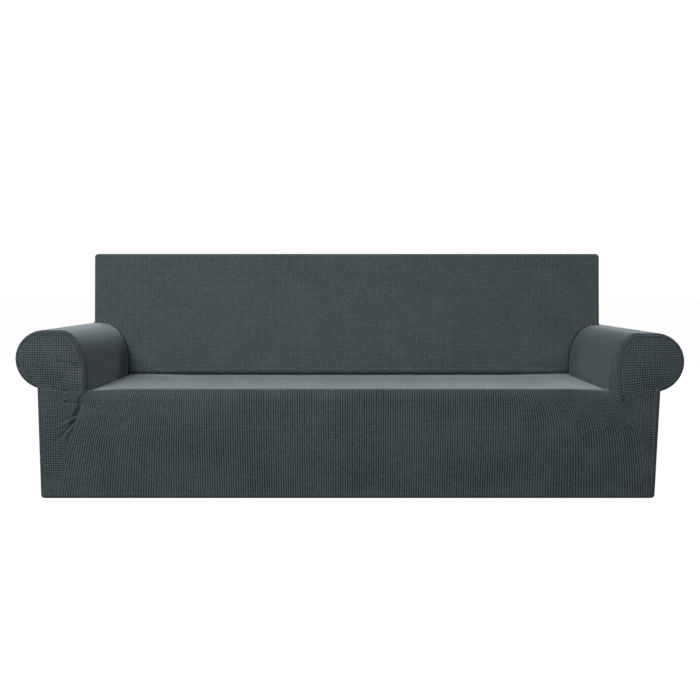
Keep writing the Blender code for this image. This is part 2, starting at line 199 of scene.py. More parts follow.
def joined(tree, kind, *sources, **settings):
    """A new node with its inputs linked from sockets or set to values, in order."""
    node = tree.nodes.new(kind)
    for setting, value in settings.items():
        setattr(node, setting, value)
    for index, source in enumerate(sources):
        if isinstance(source, bpy.types.NodeSocket):
            tree.links.new(source, node.inputs[index])
        elif source is not None:
            node.inputs[index].default_value = source
    return node


def maths(tree, operation, *sources):
    return joined(tree, "ShaderNodeMath", *sources, operation=operation).outputs[0]


def vectors(tree, operation, *sources):
    return joined(tree, "ShaderNodeVectorMath", *sources, operation=operation).outputs[0]


def blended(tree, share, first, second):
    """The first colour with a share of the second."""
    node = tree.nodes.new("ShaderNodeMix")
    node.data_type = "RGBA"
    for name, source in (("Factor", share), ("A", first), ("B", second)):
        kind = "VALUE" if name == "Factor" else "RGBA"
        socket = next(s for s in node.inputs if s.name == name and s.type == kind)
        if isinstance(source, bpy.types.NodeSocket):
            tree.links.new(source, socket)
        else:
            socket.default_value = source
    return next(s for s in node.outputs if s.type == "RGBA")


def ranged(tree, value, low, high, to_low=0.0, to_high=1.0):
    """The value eased from one range to another."""
    node = tree.nodes.new("ShaderNodeMapRange")
    node.interpolation_type = "SMOOTHSTEP"
    tree.links.new(value, node.inputs["Value"])
    ends = {"From Min": low, "From Max": high, "To Min": to_low, "To Max": to_high}
    for name, number in ends.items():
        if isinstance(number, bpy.types.NodeSocket):
            tree.links.new(number, node.inputs[name])
        else:
            node.inputs[name].default_value = number
    return node.outputs["Result"]


# small_check draws the knitted squares from the weave's own coordinates, in metres: Pad is 1 on a
# raised square and 0 in the lines round it, Dome is its rounded height, Shade is one value a square.
small_check, check_in, check_out = new_group(
    "small_check",
    (
        ("Weave", "NodeSocketVector", (0.0, 0.0, 0.0)),
        ("Size", "NodeSocketFloat", CHECK),
        ("Line Across", "NodeSocketFloat", 1.0),
        ("Line Along", "NodeSocketFloat", 1.0),
    ),
    (("Pad", "NodeSocketFloat"), ("Dome", "NodeSocketFloat"), ("Shade", "NodeSocketFloat")),
)
size = joined(small_check, "ShaderNodeCombineXYZ", *[check_in.outputs["Size"]] * 3).outputs[0]
squares = vectors(small_check, "DIVIDE", check_in.outputs["Weave"], size)
inside = vectors(small_check, "FRACTION", squares)
centred = vectors(small_check, "ABSOLUTE", vectors(small_check, "SUBTRACT", inside, (0.5, 0.5, 0.0)))
across, along, _ = joined(small_check, "ShaderNodeSeparateXYZ", centred).outputs
across = maths(small_check, "MULTIPLY", across, check_in.outputs["Line Across"])
along = maths(small_check, "MULTIPLY", along, check_in.outputs["Line Along"])
both_ways = [maths(small_check, "POWER", way, SQUARENESS) for way in (across, along)]
rounded_square = maths(small_check, "POWER", maths(small_check, "ADD", *both_ways), 1 / SQUARENESS)
for label, edge in (("Pad", PAD_EDGE), ("Dome", DOME_EDGE)):
    raised = ranged(small_check, rounded_square, *edge, 1.0, 0.0)
    small_check.links.new(raised, check_out.inputs[label])
square_number = vectors(small_check, "FLOOR", squares)
one_value = joined(small_check, "ShaderNodeTexWhiteNoise", square_number, noise_dimensions="2D")
small_check.links.new(one_value.outputs["Value"], check_out.inputs["Shade"])

# looped_yarn is the nap: curled loops about a millimetre across, and a slow drift in how they lie.
looped_yarn, yarn_in, yarn_out = new_group(
    "looped_yarn",
    (
        ("Place", "NodeSocketVector", (0.0, 0.0, 0.0)),
        ("Loops Per Metre", "NodeSocketFloat", LOOPS_PER_METRE),
        ("Drift Per Metre", "NodeSocketFloat", DRIFTS_PER_METRE),
    ),
    (("Loops", "NodeSocketFloat"), ("Drift", "NodeSocketFloat")),
)
for label, detail in (("Loops", 2.0), ("Drift", 3.0)):
    cloudy = joined(looped_yarn, "ShaderNodeTexNoise", yarn_in.outputs["Place"], noise_dimensions="3D")
    looped_yarn.links.new(yarn_in.outputs[f"{label} Per Metre"], cloudy.inputs["Scale"])
    cloudy.inputs["Detail"].default_value = detail
    clearer = ranged(looped_yarn, cloudy.outputs["Fac"], 0.30, 0.70)
    looped_yarn.links.new(clearer, yarn_out.inputs[label])

# How much the loops and the squares each change the yarn's tone, and how flat the cloth lies, which
# also sets how dark the painted shade in the lines round the squares is.
LOOPS_SHOW = 0.42
SQUARES_SHOW = 0.22
LOOPS_RISE = 0.25
LEAST_RELIEF = 0.74
STRETCHED_SMOOTH = 0.2
# How far at most the painted highlight pales the seat's colour.
PAINTED_HIGHLIGHT_MOST = 0.95


def slate_check(name, line_across=1.0, line_along=1.0, relief=1.0, smooth_behind=None, painted_highlight=None):
    """The cover's cloth on one panel; the lines show more where the panel is stretched that way.

    Relief is how far the squares stand out, and how dark the painted shade in the lines round them is.
    Behind the depth smooth_behind, where the cloth is stretched smooth, it falls to a fifth. The last
    argument holds how far along the cloth a painted highlight starts to pale the colour, is palest, and is
    plain again.
    """
    material = bpy.data.materials.new(name)
    material.use_nodes = True
    tree = material.node_tree
    shader = tree.nodes["Principled BSDF"]
    weave = joined(tree, "ShaderNodeUVMap", uv_map="weave")
    place = tree.nodes.new("ShaderNodeTexCoord")
    depth = joined(tree, "ShaderNodeSeparateXYZ", place.outputs["Object"]).outputs["Y"]
    yarn = tree.nodes.new("ShaderNodeGroup")
    yarn.node_tree = looped_yarn
    tree.links.new(place.outputs["Object"], yarn.inputs["Place"])
    check = tree.nodes.new("ShaderNodeGroup")
    check.node_tree = small_check
    tree.links.new(weave.outputs["UV"], check.inputs["Weave"])
    check.inputs["Line Across"].default_value = line_across
    check.inputs["Line Along"].default_value = line_along
    fuzzy = maths(tree, "MULTIPLY", yarn.outputs["Loops"], LOOPS_SHOW)
    pads = blended(tree, fuzzy, PAD_TONE, FUZZ_TONE)
    darker = maths(tree, "MULTIPLY", check.outputs["Shade"], SQUARES_SHOW)
    uneven = blended(tree, darker, pads, GROOVE_SHADE_AND_DARK_SQUARE_TONE)
    patchy = ranged(tree, yarn.outputs["Drift"], 0.0, 1.0, LEAST_RELIEF * relief, relief)
    if smooth_behind is not None:
        stretched = ranged(tree, depth, smooth_behind, smooth_behind + 0.02, 1.0, STRETCHED_SMOOTH)
        patchy = maths(tree, "MULTIPLY", patchy, stretched)
    # Painted shade in the lines round the squares, as deep as the relief at that spot.
    line = maths(tree, "MULTIPLY", maths(tree, "SUBTRACT", 1.0, check.outputs["Pad"]), patchy)
    knit = blended(tree, line, uneven, GROOVE_SHADE_AND_DARK_SQUARE_TONE)
    # A painted highlight: the colour turns paler along the cloth towards the seat's front edge.
    if painted_highlight is not None:
        starts, palest, plain = painted_highlight
        run = joined(tree, "ShaderNodeSeparateXYZ", weave.outputs["UV"]).outputs["Y"]
        highlight_share = maths(
            tree,
            "MULTIPLY",
            ranged(tree, run, starts, palest, 0.0, PAINTED_HIGHLIGHT_MOST),
            ranged(tree, run, palest, plain, 1.0, 0.0),
        )
        knit = blended(tree, highlight_share, knit, PAINTED_HIGHLIGHT_TONE)
    tree.links.new(knit, shader.inputs["Base Color"])
    loops = maths(tree, "MULTIPLY", yarn.outputs["Loops"], LOOPS_RISE)
    height = maths(tree, "MULTIPLY", maths(tree, "ADD", check.outputs["Dome"], loops), patchy)
    bump = tree.nodes.new("ShaderNodeBump")
    bump.inputs["Strength"].default_value = 0.60
    bump.inputs["Distance"].default_value = LOOP_RELIEF
    tree.links.new(height, bump.inputs["Height"])
    tree.links.new(bump.outputs["Normal"], shader.inputs["Normal"])
    rough = ranged(tree, yarn.outputs["Loops"], 0.0, 1.0, 0.98, 0.86)
    tree.links.new(rough, shader.inputs["Roughness"])
    shader.inputs["Specular IOR Level"].default_value = 0.18
    shader.inputs["Sheen Weight"].default_value = 1.0
    shader.inputs["Sheen Roughness"].default_value = 0.28
    shader.inputs["Sheen Tint"].default_value = (0.80, 0.90, 0.95, 1.0)
    return material


# ---------------------------------------------------------------------------------------------
# The arms: on each side one length of stretch cloth comes up from the seat, rolls over the arm and
# drops down the outer side to the elastic hem. It wraps round the arm's front edge to the facing.

arm_low, arm_high = (Vector(corner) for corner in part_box("arm_left"))
back_low, back_high = (Vector(corner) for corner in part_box("inside_back"))
FRONT = arm_low.y
REAR = arm_high.y
CREASE_SAG = 6e-3
SEAT_TOP = back_low.z + CREASE_SAG
BACK_TOP = back_high.z
CREASE = back_low.y
RECLINE = 0.048
HEM_RADIUS = 12e-3
HEM_RISE = HEM_RADIUS * sqrt(3) / 2
REAR_CURL = 15e-3
REAR_HEM_CURL = 20e-3
REAR_CURL_EVENS_OUT = 0.3
SEAT_DROP = 32e-3

# The cloth is tucked down between seat and arms, and in between the arms and the back. Points are
# crowded towards the creases.
TUCK = 13e-3
TUCK_INWARDS = 5e-3
TUCK_REACH = 9e-3
TUCK_ENDS = 6
CREASE_CROWDING = 1.6

# Across is measured outwards from the middle of the sofa; a curl is a front edge's radius.
Arm = namedtuple(
    "Arm",
    "name side back_edge inner_front inner_back shoulder_start shoulder_front shoulder_back"
    " top roll_across roll_up roll_radius outer_top outer_hem curl_inner curl_roll curl_outer",
)
ARMS = (
    Arm("left", -1, 1.109, 0.949, 0.9575, 0.454, 0.090, 0.118,
        0.6137, 1.0965, 0.5067, 0.107, 1.131, 1.131, 20e-3, 13e-3, 20e-3),
    Arm("right", 1, 1.082, 0.9445, 0.947, 0.444, 0.086, 0.104,
        0.6026, 1.097, 0.4959, 0.1067, 1.124, 1.1155, 38e-3, 15e-3, 22e-3),
)

WALL_STEPS = 24
SHOULDER_STEPS = 34
ROLL_STEPS = WALL_STEPS + SHOULDER_STEPS + 1
CURL_STEPS = 6
CORNER = ROLL_STEPS
SKIRT_STEPS = 90
HEM_STEPS = 6
ARM_STEPS = 46
REAR_STEPS = 22


def between(start, end, share):
    return start + (end - start) * share


def smooth(share):
    """0 to 1, easing in and out."""
    share = np.clip(share, 0.0, 1.0)
    return share * share * (3 - 2 * share)


def skirt_heights(top):
    """Heights from just under top to the floor, closer where the cloth is pulled and at the hem."""
    share = np.linspace(0, 1, SKIRT_STEPS + 1)[1:]
    fall = between(top, HEM_RISE, share * (0.55 + 0.45 * share))
    return np.concatenate([fall, HEM_RISE * (1 - np.linspace(0, 1, HEM_STEPS + 1)[1:])])


def hem_turn(up):
    """How far the elastic has drawn the hem under the cover at this height."""
    below = np.clip(HEM_RISE - np.asarray(up, float), 0.0, HEM_RISE)
    return HEM_RADIUS - np.sqrt(HEM_RADIUS**2 - below**2)


def face_of_back(up):
    lowest = SEAT_TOP - CREASE_SAG
    return CREASE + RECLINE * (up - lowest) / (BACK_TOP - lowest)


def arm_outline(arm, back_share):
    """Across, up and the outward direction at each spot, from the seat over the roll to the hem."""
    inner = between(arm.inner_front, arm.inner_back, back_share)
    reach = between(arm.shoulder_front, arm.shoulder_back, back_share)
    rise = arm.top - arm.shoulder_start
    rising = np.linspace(0, 1, WALL_STEPS + 1)[:-1] ** CREASE_CROWDING
    wall = between(SEAT_TOP - TUCK, arm.shoulder_start, rising)
    turn = np.linspace(0, pi / 2, SHOULDER_STEPS + 1)
    slope = np.hypot(rise * np.cos(turn), reach * np.sin(turn))
    start = acos((arm.back_edge - arm.roll_across) / arm.roll_radius)
    stop = -acos((arm.outer_top - arm.roll_across) / arm.roll_radius)
    roll = np.linspace(start, stop, ROLL_STEPS + 1)
    notch = arm.roll_up + arm.roll_radius * sin(stop)
    heights = skirt_heights(notch)
    across = np.concatenate([
        np.full_like(wall, inner),
        inner + reach * (1 - np.cos(turn)),
        arm.roll_across + arm.roll_radius * np.cos(roll),
        between(arm.outer_hem, arm.outer_top, heights / notch),
    ])
    up = np.concatenate([
        wall,
        arm.shoulder_start + rise * np.sin(turn),
        arm.roll_up + arm.roll_radius * np.sin(roll),
        heights,
    ])
    out_across = np.concatenate([
        np.full_like(wall, -1.0),
        -rise * np.cos(turn) / slope,
        np.cos(roll),
        np.ones_like(heights),
    ])
    out_up = np.concatenate([
        np.zeros_like(wall),
        reach * np.sin(turn) / slope,
        np.sin(roll),
        np.zeros_like(heights),
    ])
    under_roll = CORNER + ROLL_STEPS
    out_up[under_roll] = out_up[under_roll] / (1 + out_across[under_roll])
    out_across[under_roll] = 1.0
    return np.stack([across, up, out_across, out_up])


def run_along(across, up):
    """How far along the cloth each spot is, counted from the middle of the roll's top."""
    steps = np.hypot(np.diff(across), np.diff(up))
    run = np.concatenate([[0.0], np.cumsum(steps)])
    return run - run[CORNER]


def front_curls(arm):
    """The radius of the arm's front edge at each spot of its outline."""
    spots = np.arange(CORNER)
    inner = between(arm.curl_inner, arm.curl_roll, smooth(spots / CORNER))
    return np.concatenate([
        inner,
        np.full(ROLL_STEPS + 1, arm.curl_roll),
        np.full(SKIRT_STEPS + HEM_STEPS, arm.curl_outer),
    ])


def fallen(up, turn):
    """The foot of the inner side follows the seat down as that rounds over at the front."""
    spots = np.arange(len(up))
    share = 1 - smooth(spots / WALL_STEPS)
    return up - (SEAT_DROP - TUCK) * (1 - cos(turn)) * share


def rear_curls(up):
    """The radius of the cover's rear edges at this height."""
    return between(REAR_HEM_CURL, REAR_CURL, smooth(up / REAR_CURL_EVENS_OUT))


def lay_cloth(name, points, weave, material, node, outwards):
    """One panel from rows of points and weave coordinates; NaN points are where it has no cloth."""
    rows, columns, _ = points.shape
    there = ~np.isnan(points[:, :, 0])
    number = np.full((rows, columns), -1)
    number[there] = np.arange(there.sum())
    ring = np.stack([number[:-1, :-1], number[:-1, 1:], number[1:, 1:], number[1:, :-1]], axis=-1)
    ring = ring.reshape(-1, 4)
    ring = ring[(ring >= 0).all(axis=1)]
    verts = points[there]
    first, second, third = (verts[ring[:, i]] for i in (0, 1, 3))
    facing_out = np.einsum("ij,ij->", np.cross(second - first, third - first), outwards(first))
    if facing_out < 0:
        ring = ring[:, ::-1]
    mesh = bpy.data.meshes.new(name)
    mesh.from_pydata(verts.tolist(), [], ring.tolist())
    layer = mesh.uv_layers.new(name="weave")
    corner_points = np.empty(len(mesh.loops), np.int32)
    mesh.loops.foreach_get("vertex_index", corner_points)
    layer.data.foreach_set("uv", weave[there][corner_points].astype(np.float32).ravel())
    mesh.polygons.foreach_set("use_smooth", [True] * len(mesh.polygons))
    mesh.materials.append(material)
    panel = bpy.data.objects.new(name, mesh)
    bpy.context.scene.collection.objects.link(panel)
    weld = panel.modifiers.new("weld", "WELD")
    weld.merge_threshold = 2e-5
    thick = panel.modifiers.new("cloth", "SOLIDIFY")
    thick.thickness = CLOTH_THICKNESS
    thick.offset = -1.0
    thick.use_rim = True
    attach(panel, "root")
    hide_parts(node)
    return panel


def arm_rows(arm):
    """Points and weave coordinates of the arm's panel, row by row from its facing to its rear."""
    curls = front_curls(arm)
    points = []
    weave = []

    def add(across, up, y, run, skip=0):
        row = np.stack([arm.side * across, y + 0 * across, up], axis=-1)
        row[:skip] = np.nan
        points.append(row)
        weave.append(np.stack([y + 0 * across, run], axis=-1))

    across, up, out_across, out_up = arm_outline(arm, 0.0)
    run = run_along(across, up)
    for turn in np.linspace(pi / 2, 0, CURL_STEPS + 1)[:-1]:
        rounded = curls - hem_turn(up)
        inset = curls - rounded * cos(turn)
        y = FRONT + curls - rounded * sin(turn)
        add(across - inset * out_across, fallen(up, turn) - inset * out_up, y, run)
        weave[-1][:, 0] = FRONT + curls - curls * turn
    top = arm_outline(arm, 1.0)[1, CORNER]
    for share in np.linspace(0, 1, ARM_STEPS + 1):
        across, up, out_across, out_up = arm_outline(arm, 1 - (1 - share) ** CREASE_CROWDING)
        spots = np.arange(len(up))
        inner = spots < CORNER
        end = face_of_back(np.where(inner, np.minimum(up, top), top)) + TUCK_INWARDS * inner
        y = between(FRONT + curls, end, 1 - (1 - share) ** CREASE_CROWDING)
        tucked = TUCK_INWARDS * np.exp(-(((end - y) / TUCK_REACH) ** 2))
        inset = hem_turn(up) + tucked * smooth((CORNER - spots) / TUCK_ENDS)
        add(across - inset * out_across, up - inset * out_up, y, run_along(across, up))
    start = float(face_of_back(top))
    out_across[CORNER] = out_up[CORNER] = 1.0
    run = run_along(across, up)
    for share in np.linspace(0, 1, REAR_STEPS + 1)[1:]:
        inset = hem_turn(up)
        y = between(start, REAR - rear_curls(up), share)
        add(across - inset * out_across, up - inset * out_up, y, run, CORNER)
    for turn in np.linspace(0, pi / 2, CURL_STEPS + 1)[1:]:
        rear = rear_curls(up)
        rounded = rear - hem_turn(up)
        inset = rear - rounded * cos(turn)
        y = REAR - rear + rounded * sin(turn)
        add(across - inset * out_across, up - inset * out_up, y, run, CORNER)
        weave[-1][:, 0] = REAR - rear + rear * turn
    return np.array(points), np.array(weave)


ARM_MIDDLE_ACROSS = 1.03
ARM_MIDDLE_UP = 0.3


def away_from_arm(arm):
    """The way an arm's cloth faces: out from a line inside the arm, below its roll."""
    line = np.array([arm.side * ARM_MIDDLE_ACROSS, 0.0, ARM_MIDDLE_UP])
    return lambda spot: (spot - line) * [1, 0, 1]


HEM_STITCH_UP = 24e-3

stitch_lines = []
arm_cloth = slate_check("arm_cloth", 1.12, 1.10, smooth_behind=FRONT)
for arm in ARMS:
    points, weave = arm_rows(arm)
    name = f"arm_{arm.name}"
    panel = lay_cloth(f"{name}_cloth", points, weave, arm_cloth, name, away_from_arm(arm))
    stitch_lines.append(points[:, np.nanargmin(abs(points[-1, :, 2] - HEM_STITCH_UP))])


# ---------------------------------------------------------------------------------------------
# The facings: the flat scroll of cloth sewn to the front of each arm, padded a little over the roll.
# Below the roll it is hauled towards the corner of the seat, which creases it, the left one most.

SKIRT_TOP = SEAT_TOP - SEAT_DROP
FACING_COLUMNS = 84
FACING_FOLDS_START = (6e-3, 4e-3)
ROLL_CROWN = 7e-3
EDGE_STITCH_COLUMN = 2
ROW_GAP = 1e-4
SEAM_BLEND = 0.02
SEAM_REACH = 8e-3
FOLDS_ABOVE_HEM = 0.05
HAUL_CURLS_IN = 1.2
HAUL_BELOW = 0.05
HAUL_REACH = 0.075
HAUL_TALLER = 0.8
HAUL_MOST = 0.45
HAUL_SIDEWAYS = 0.3

# The seam that joins facing and skirt, and how deep the cloth is drawn in along it.
SkirtSeam = namedtuple("SkirtSeam", "up left right drawn_left drawn_right")
SKIRT_SEAM = (
    SkirtSeam(SKIRT_TOP, *(arm.inner_front + arm.curl_inner for arm in ARMS), 12.0e-3, 9.0e-3),
    SkirtSeam(0.322, 0.980, 1.009, 12.0e-3, 9.0e-3),
    SkirtSeam(0.304, 0.9886, 1.0215, 10.0e-3, 8.0e-3),
    SkirtSeam(0.285, 0.993, 1.035, 6.0e-3, 5.0e-3),
    SkirtSeam(0.251, 1.002, 1.047, 1.5e-3, 1.5e-3),
    SkirtSeam(0.214, 1.016, 1.055, 1.0e-3, 0.8e-3),
    SkirtSeam(0.109, 1.038, 1.069, 0.5e-3, 0.5e-3),
    SkirtSeam(0.000, 1.056, 1.077, 0.3e-3, 0.3e-3),
)

# Creases and ridges, each from one place to another on the front of the cover. Out is how far the
# cloth stands proud, and a crease is below zero. Width is how far it slopes away on either side.
Fold = namedtuple("Fold", "x up to_x to_up width out")
LEFT_FACING_FOLDS = (
    Fold(-0.982, 0.306, -1.040, 0.282, 5.0e-3, -8.0e-3),
    Fold(-0.986, 0.300, -1.052, 0.262, 5.0e-3, 7.5e-3),
    Fold(-0.984, 0.296, -1.044, 0.228, 4.5e-3, -10.0e-3),
    Fold(-0.990, 0.284, -1.034, 0.216, 4.5e-3, 7.0e-3),
    Fold(-0.990, 0.274, -1.022, 0.200, 4.5e-3, -9.0e-3),
    Fold(-0.998, 0.262, -1.020, 0.184, 5.0e-3, 4.5e-3),
    Fold(-1.046, 0.232, -1.074, 0.196, 7.0e-3, -3.0e-3),
    Fold(-1.124, 0.4075, -1.058, 0.4040, 4.0e-3, -8.0e-3),
    Fold(-1.066, 0.4060, -1.022, 0.3935, 4.0e-3, -7.0e-3),
    Fold(-1.030, 0.3960, -0.978, 0.3920, 5.0e-3, -4.0e-3),
    Fold(-1.024, 0.3540, -0.984, 0.3500, 4.0e-3, -8.0e-3),
    Fold(-1.045, 0.5010, -0.993, 0.4900, 4.0e-3, -5.0e-3),
    Fold(-0.995, 0.4920, -0.965, 0.4760, 5.0e-3, -5.0e-3),
    Fold(-0.982, 0.4790, -0.979, 0.4340, 9.0e-3, -5.0e-3),
    Fold(-1.007, 0.4440, -0.987, 0.3340, 12.0e-3, 2.5e-3),
)
RIGHT_FACING_FOLDS = (
    Fold(0.999, 0.3834, 1.031, 0.3257, 5.0e-3, -4.0e-3),
    Fold(1.009, 0.3914, 1.045, 0.3337, 8.0e-3, 2.0e-3),
    Fold(1.115, 0.3983, 1.077, 0.4053, 6.0e-3, -3.5e-3),
    Fold(1.037, 0.2939, 1.075, 0.1545, 10.0e-3, 1.6e-3),
    Fold(1.049, 0.2640, 1.087, 0.1943, 8.0e-3, -1.4e-3),
    Fold(1.027, 0.5774, 1.005, 0.5028, 10.0e-3, 2.0e-3),
)


FOLD_FADES = 0.65


def folded(folds, x, up):
    """How far these folds lift the cloth, each dying away towards its far end."""
    lift = np.zeros(np.broadcast(x, up).shape)
    for fold in folds:
        run = np.array([fold.to_x - fold.x, fold.to_up - fold.up])
        length = hypot(*run)
        share = ((x - fold.x) * run[0] + (up - fold.up) * run[1]) / length**2
        held = np.clip(share, 0.0, 1.0)
        away = np.hypot(x - fold.x - held * run[0], up - fold.up - held * run[1])
        fading = 1 - FOLD_FADES * smooth(held)
        lift += fold.out * fading * np.exp(-((away / fold.width) ** 2))
    return lift


def seam_value(field, up):
    """One column of the skirt seam's table at these heights."""
    heights = [row.up for row in reversed(SKIRT_SEAM)]
    return np.interp(up, heights, [getattr(row, field) for row in reversed(SKIRT_SEAM)])


def hauled_weave(arm, x, up):
    """The facing's weave, gathered towards the corner of the seat where the cloth is hauled."""
    corner_x = arm.side * (arm.inner_front + HAUL_CURLS_IN * arm.curl_inner)
    corner_up = SKIRT_TOP - HAUL_BELOW
    away = np.hypot(x - corner_x, (up - corner_up) * HAUL_TALLER)
    gather = HAUL_MOST * np.exp(-((away / HAUL_REACH) ** 2))
    return x + gather * HAUL_SIDEWAYS * (x - corner_x), up + gather * (up - corner_up)


def facing_rows(arm, folds):
    """Rows run from the outer edge to the inner one; below the roll they leave the outer edge level."""
    across, up, out_across, out_up = arm_outline(arm, 0.0)
    curls = front_curls(arm)
    edge_across = across - curls * out_across
    edge_up = fallen(up, pi / 2) - curls * out_up
    wall = slice(0, WALL_STEPS + 1)
    even_up = np.linspace(edge_up[0], edge_up[WALL_STEPS], WALL_STEPS + 1)
    edge_across[wall] = np.interp(even_up, edge_up[wall], edge_across[wall])
    edge_up[wall] = even_up
    skirt = skirt_heights(SKIRT_TOP)
    outer = np.stack([edge_across[CORNER:], edge_up[CORNER:]])
    outer[1] = np.minimum(outer[1], outer[1, 0] - ROW_GAP * np.arange(outer.shape[1]))
    inner = np.stack([
        np.concatenate([edge_across[CORNER::-1], seam_value(arm.name, skirt)]),
        np.concatenate([edge_up[CORNER::-1], skirt]),
    ])
    share = np.linspace(0, 1, FACING_COLUMNS + 1)
    bend = 1 + smooth(np.arange(outer.shape[1]) / ROLL_STEPS)[:, None]
    place = outer[:, :, None] + (inner - outer)[:, :, None] * np.stack([share + 0 * bend, share**bend])
    x = arm.side * place[0]
    up = place[1]
    width = np.abs(outer[0] - inner[0])[:, None]
    from_outer = share * width
    from_inner = (1 - share) * width
    outer_start, inner_start = FACING_FOLDS_START
    inside = smooth(from_outer / outer_start) * smooth(from_inner / inner_start)
    from_roll = np.hypot(place[0] - arm.roll_across, up - arm.roll_up)
    from_roll /= arm.roll_radius - arm.curl_roll
    crown = ROLL_CROWN * np.clip(1 - from_roll**2, 0.0, 1.0)
    drawn = seam_value(f"drawn_{arm.name}", up) * np.exp(-((from_inner / SEAM_REACH) ** 2))
    drawn = drawn * smooth((SKIRT_TOP + SEAM_BLEND - up) / SEAM_BLEND)
    lift = crown + inside * smooth(up / FOLDS_ABOVE_HEM) * folded(folds, x, up) - drawn
    points = np.stack([x, FRONT + hem_turn(up) - lift, up], axis=-1)
    return points, np.stack(hauled_weave(arm, x, up), axis=-1)


def facing_towards(*way):
    """The way a flat panel faces, the same all over."""
    return lambda spot: spot * 0 + way


facing_cloth = slate_check("facing_cloth", 1.06, 1.06)
for arm, folds in zip(ARMS, (LEFT_FACING_FOLDS, RIGHT_FACING_FOLDS)):
    points, weave = facing_rows(arm, folds)
    name = f"arm_front_{arm.name}"
    panel = lay_cloth(f"{name}_cloth", points, weave, facing_cloth, name, facing_towards(0, -1, 0))
    stitch_lines.append(points[np.argmin(abs(points[:, 0, 2] - HEM_STITCH_UP))])
    above_hem = points[points[:, 0, 2] > HEM_STITCH_UP]
    stitch_lines.append(above_hem[:, EDGE_STITCH_COLUMN])
    stitch_lines.append(above_hem[:, -1 - EDGE_STITCH_COLUMN])


# ---------------------------------------------------------------------------------------------
# The seat and skirt: one length of stretch cloth from deep in the crease at the back, over the firm
# front edge of the seat and down to the elastic hem. It stands a little in front of the facings.

SEAT_ROLL = 17e-3
FOOT_DEPTH = 22e-3
CLEAR_OF_FOOT = 1e-3
SEAT_CROWN = 7.5e-3
SKIRT_BULGE = 12e-3
CROWN_REACH = 0.35
BULGE_REACH = 0.25
SEAT_END_REACH = 0.085
BACK_END_REACH = 0.16
DECK_STEPS = 56
SEAT_COLUMNS = 196
COLUMN_CROWDING = 0.45
SIDE_TUCK_REACH = 7e-3
SIDE_TUCK_STARTS = 0.02
CREASE_REACH = 9e-3
SKIRT_SEAM_BLEND = 0.012
SKIRT_SEAM_REACH = 9e-3

# From each side seam, over this part of the half width, the weave turns from following the seam, as
# it lies on a cloth this wide, to hanging upright.
UPRIGHT_FROM = 0.55
ALONG_SEAM_WIDTH = 2.03

# Near the back the seat's sides reach under the arms' cloth, over this part of its depth.
UNDER_ARM_REACH = 1.5 * TUCK_INWARDS
UNDER_ARM_STARTS = 0.92
UNDER_ARM_BLEND = 0.03

SKIRT_FOLDS = (
    Fold(-0.982, 0.3486, -0.927, 0.3038, 16e-3, 1.5e-3),
    Fold(-1.007, 0.2292, -0.927, 0.1247, 20e-3, -1.2e-3),
    Fold(0.982, 0.3038, 0.897, 0.1844, 24e-3, -1.5e-3),
    Fold(1.017, 0.2590, 0.957, 0.0849, 22e-3, 1.4e-3),
    Fold(-0.548, 0.3038, -0.349, 0.0650, 60e-3, 1.5e-3),
    Fold(0.199, 0.3237, 0.100, 0.0551, 70e-3, -1.3e-3),
    Fold(0.618, 0.3038, 0.698, 0.0551, 60e-3, 1.3e-3),
)


def seat_columns():
    """Shares across the seat, closer together near the arms."""
    even = np.linspace(-1, 1, SEAT_COLUMNS + 1)
    return 0.5 + 0.5 * ((1 + COLUMN_CROWDING) * even - COLUMN_CROWDING * even**3)


def near_ends(share):
    """For each end of the sofa, 1 at that end, falling to 0 a little way in."""
    return smooth(1 - share / BACK_END_REACH), smooth(1 - (1 - share) / BACK_END_REACH)


